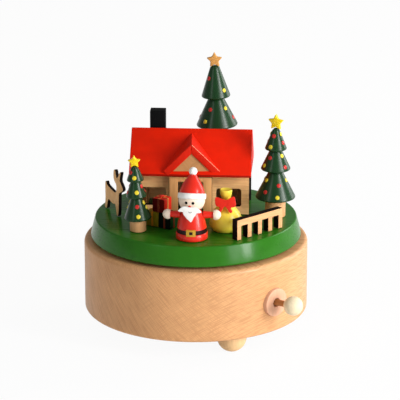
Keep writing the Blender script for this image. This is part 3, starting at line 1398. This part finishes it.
# Operators


def settings(context):
    """The colours of woods and paints, and the small sizes, as the user has set them."""
    scene = context.scene
    return scene.music_box_woods, scene.music_box_paints, scene.music_box_sizes


class MUSICBOX_OT_base(bpy.types.Operator):
    """Turned base, washer, ball feet and bottom board"""

    bl_idname = "music_box.base"
    bl_label = "Base"

    def execute(self, context):
        woods, _, sizes = settings(context)
        build_base(sizes, turned_beech(woods))
        build_washer(bare_wood("washer_pink_wood", woods.pink_wood, "Z"))
        build_feet(bare_wood("feet_pale_wood", woods.foot_wood, "Z"))
        dress("bottom_cover", pressed_board(woods))
        return {"FINISHED"}


class MUSICBOX_OT_knob(bpy.types.Operator):
    """Stop knob: a dowel with a ball on its end"""

    bl_idname = "music_box.knob"
    bl_label = "Stop knob"

    def execute(self, context):
        woods = context.scene.music_box_woods
        pale = bare_wood("knob_pale_wood", woods.pale_wood, "Z", (0.36, 0.46))
        build_knob(pale, bare_wood("dowel_brown_wood", woods.dowel_wood, "X"))
        return {"FINISHED"}


class MUSICBOX_OT_movement(bpy.types.Operator):
    """Metals of the spring movement"""

    bl_idname = "music_box.movement"
    bl_label = "Movement"

    def execute(self, context):
        dress_movement()
        return {"FINISHED"}


class MUSICBOX_OT_turntable(bpy.types.Operator):
    """Green turned disc"""

    bl_idname = "music_box.turntable"
    bl_label = "Turntable"

    def execute(self, context):
        _, paints, sizes = settings(context)
        green = painted_wood("meadow_satin_enamel", paints.meadow_green, 0.26, 0.32, specular=0.05)
        build_turntable(sizes, green)
        return {"FINISHED"}


class MUSICBOX_OT_cottage(bpy.types.Operator):
    """Plywood walls, red roof with its dormer, and the chimney"""

    bl_idname = "music_box.cottage"
    bl_label = "Cottage"

    def execute(self, context):
        woods, paints, sizes = settings(context)
        level = plywood_face("plywood_level_grain", woods, woods.wall_wood)
        upright = plywood_face("plywood_upright_grain", woods, woods.plywood, (0, 90, 0))
        falling = plywood_face("veneer_falling_grain", woods, woods.veneer, (0, 52, 0))
        rising = plywood_face("veneer_rising_grain", woods, woods.veneer, (0, -38, 0))
        scorch = scorched_edge(woods)
        red = painted_wood("roof_matt_paint", paints.roof_red, 0.48, 0.0, specular=0.12)
        end_colour, eave_colour = shade(paints.roof_red, 0.9), shade(paints.roof_red, 0.45)
        end_red = painted_wood("roof_paint_on_end_grain", end_colour, 0.6, 0.0, "Y")
        eave_red = painted_wood("roof_paint_on_board_edge", eave_colour, 0.55, 0.0, specular=0.1)
        worn = painted_wood("roof_paint_rubbed_edge", paints.worn_red, 0.5, 0.0)
        toasted = bare_wood("toasted_inner_edge", woods.toast, "Z")
        build_walls(sizes, level, upright, scorch, toasted)
        build_roof(red, eave_red)
        build_dormer(red, end_red, worn, rising, falling)
        build_chimney(painted_wood("chimney_matt_black", paints.black, 0.55, 0.0, "Z", specular=0.08))
        return {"FINISHED"}


class MUSICBOX_OT_trees(bpy.types.Operator):
    """Three turned firs with painted dots and stars"""

    bl_idname = "music_box.trees"
    bl_label = "Trees"

    def execute(self, context):
        woods, paints, sizes = settings(context)
        looks = {
            "trunk": bare_wood("trunk_beech", woods.beech, "Z", (0.4, 0.5)),
            "fir": painted_wood("fir_gloss_enamel", paints.fir_green, 0.38, 0.5, "Z", 0.00002, specular=0.1),
            "red_dots": painted_wood("red_dot_enamel", paints.dot_red, 0.3, 0.3),
            "yellow_dots": painted_wood("yellow_dot_enamel", paints.dot_yellow, 0.3, 0.3),
        }
        yellow = [painted_wood("star_gloss_enamel", paints.star_yellow, 0.3, 0.3)]
        bare = [plywood_face("star_plywood", woods, woods.star_wood, (0, 90, 0))]
        build_tree("tall_tree", sizes, looks, bare)
        for name in ("right_tree", "left_tree"):
            build_tree(name, sizes, looks, yellow)
        return {"FINISHED"}


class MUSICBOX_OT_cut_outs(bpy.types.Operator):
    """Reindeer and fence, laser-cut from plywood"""

    bl_idname = "music_box.cut_outs"
    bl_label = "Reindeer and fence"

    def execute(self, context):
        woods, _, sizes = settings(context)
        scorch = scorched_edge(woods)
        upright = plywood_face("reindeer_plywood", woods, woods.wall_wood, (0, 90, 0))
        level = plywood_face("fence_plywood", woods, woods.fence_wood, (0, 0, FENCE_HEADING))
        outline = softened(DEER_OUTLINE, 2)
        deer = (outline, DEER_THICKNESS, DEER_PLACE, DEER_HEADING)
        build_cut_out("reindeer", *deer, sizes, [upright, scorch])
        fence = (fence_outline(), FENCE_THICKNESS, FENCE_START, FENCE_HEADING)
        build_cut_out("fence", *fence, sizes, [level, scorch])
        return {"FINISHED"}


class MUSICBOX_OT_presents(bpy.types.Operator):
    """Three painted boxes with ribbons"""

    bl_idname = "music_box.presents"
    bl_label = "Presents"

    def execute(self, context):
        paints = context.scene.music_box_paints
        gold = painted_wood("ribbon_gold_enamel", paints.ribbon_gold, 0.4, 0.1)
        brown = painted_wood("ribbon_brown_enamel", paints.ribbon_brown, 0.5, 0.0)
        orange = painted_wood("ribbon_orange_enamel", paints.ribbon_orange, 0.4, 0.1)
        olive = painted_wood("box_olive_yellow", paints.olive_yellow, 0.42, 0.1)
        green = painted_wood("box_bottle_green", paints.bottle_green, 0.42, 0.1)
        red = painted_wood("box_red", paints.coat_red, 0.42, 0.1)
        end_green = painted_wood("box_green_end_grain", paints.end_green, 0.6, 0.0, specular=0.05)
        end_red = painted_wood("box_red_end_grain", paints.end_red, 0.6, 0.0, specular=0.05)
        looks = {
            "green": {"box": [green, end_green], "ribbon": [brown, brown]},
            "yellow": {"box": [olive, olive], "ribbon": [orange, orange]},
            "red": {"box": [red, end_red], "ribbon": [gold, brown]},
        }
        build_presents(looks)
        return {"FINISHED"}


class MUSICBOX_OT_figure(bpy.types.Operator):
    """Father Christmas peg figure"""

    bl_idname = "music_box.figure"
    bl_label = "Father Christmas"

    def execute(self, context):
        paints = context.scene.music_box_paints
        seat = shift(*FIGURE_PLACE, TABLE_TOP)
        red = painted_wood("coat_gloss_enamel", paints.coat_red, 0.28, 0.35, "Z")
        white = painted_wood("white_satin_enamel", paints.white, 0.42, 0.05, "Z", 0.00003, 0.96)
        cream = painted_wood("cream_satin_enamel", paints.cream, 0.38, 0.1, "Z", 0.00002, 0.95)
        black = painted_wood("black_satin_enamel", paints.black, 0.45, 0.0, specular=0.1)
        gold = painted_wood("buckle_gold_enamel", paints.buckle_gold, 0.35, 0.2)
        belt = painted_wood("belt_satin_enamel", paints.belt, 0.35, 0.1)
        build_body(seat, red, belt)
        build_buckle(seat, gold, belt)
        build_head(seat, cream, black, red)
        build_hat(seat, red, white)
        build_arms(seat, red, cream)
        build_beard(seat, white, painted_wood("mouth_grey_line", linear("8F8C88"), 0.5, 0.0))
        return {"FINISHED"}


class MUSICBOX_OT_sack(bpy.types.Operator):
    """Yellow sack with a red bow"""

    bl_idname = "music_box.sack"
    bl_label = "Sack"

    def execute(self, context):
        paints = context.scene.music_box_paints
        yellow = painted_wood("sack_gloss_enamel", paints.sack_yellow, 0.3, 0.25, "Z")
        build_sack(yellow, painted_wood("bow_gloss_enamel", paints.coat_red, 0.34, 0.2))
        return {"FINISHED"}


class MUSICBOX_OT_stage(bpy.types.Operator):
    """Floor, light and the photo's camera"""

    bl_idname = "music_box.stage"
    bl_label = "Stage"

    def execute(self, context):
        stage = context.scene.music_box_stage
        build_floor(stage)
        build_sky(stage)
        for name in LAMPS:
            add_lamp(name, getattr(stage, name))
        build_camera()
        return {"FINISHED"}


class MUSICBOX_PT_panel(bpy.types.Panel):
    """Buttons for the music box's pieces, and its settings"""

    bl_label = "Music box"
    bl_idname = "MUSICBOX_PT_panel"
    bl_space_type = "VIEW_3D"
    bl_region_type = "UI"
    bl_category = "Music box"

    def draw(self, context):
        for operator in OPERATORS:
            self.layout.operator(operator.bl_idname)
        for group in GROUPS:
            values = getattr(context.scene, group)
            for name in values.bl_rna.properties.keys():
                if name not in ("rna_type", "name"):
                    self.layout.prop(values, name)


OPERATORS = (
    MUSICBOX_OT_base,
    MUSICBOX_OT_knob,
    MUSICBOX_OT_movement,
    MUSICBOX_OT_turntable,
    MUSICBOX_OT_cottage,
    MUSICBOX_OT_trees,
    MUSICBOX_OT_cut_outs,
    MUSICBOX_OT_presents,
    MUSICBOX_OT_figure,
    MUSICBOX_OT_sack,
    MUSICBOX_OT_stage,
)
GROUPS = {
    "music_box_woods": MusicBoxWoods,
    "music_box_paints": MusicBoxPaints,
    "music_box_sizes": MusicBoxSizes,
    "music_box_stage": MusicBoxStage,
}


def register():
    for group in GROUPS.values():
        bpy.utils.register_class(group)
    for name, group in GROUPS.items():
        setattr(bpy.types.Scene, name, PointerProperty(type=group))
    for operator in OPERATORS:
        bpy.utils.register_class(operator)
    bpy.utils.register_class(MUSICBOX_PT_panel)


def unregister():
    bpy.utils.unregister_class(MUSICBOX_PT_panel)
    for operator in reversed(OPERATORS):
        bpy.utils.unregister_class(operator)
    for name, group in GROUPS.items():
        delattr(bpy.types.Scene, name)
        bpy.utils.unregister_class(group)


def main():
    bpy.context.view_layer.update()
    register()
    bpy.context.scene.view_settings.view_transform = "Standard"
    bpy.ops.music_box.base()
    bpy.ops.music_box.knob()
    bpy.ops.music_box.movement()
    bpy.ops.music_box.turntable()
    bpy.ops.music_box.cottage()
    bpy.ops.music_box.trees()
    bpy.ops.music_box.cut_outs()
    bpy.ops.music_box.presents()
    bpy.ops.music_box.figure()
    bpy.ops.music_box.sack()
    bpy.ops.music_box.stage()


if __name__ == "__main__":
    main()
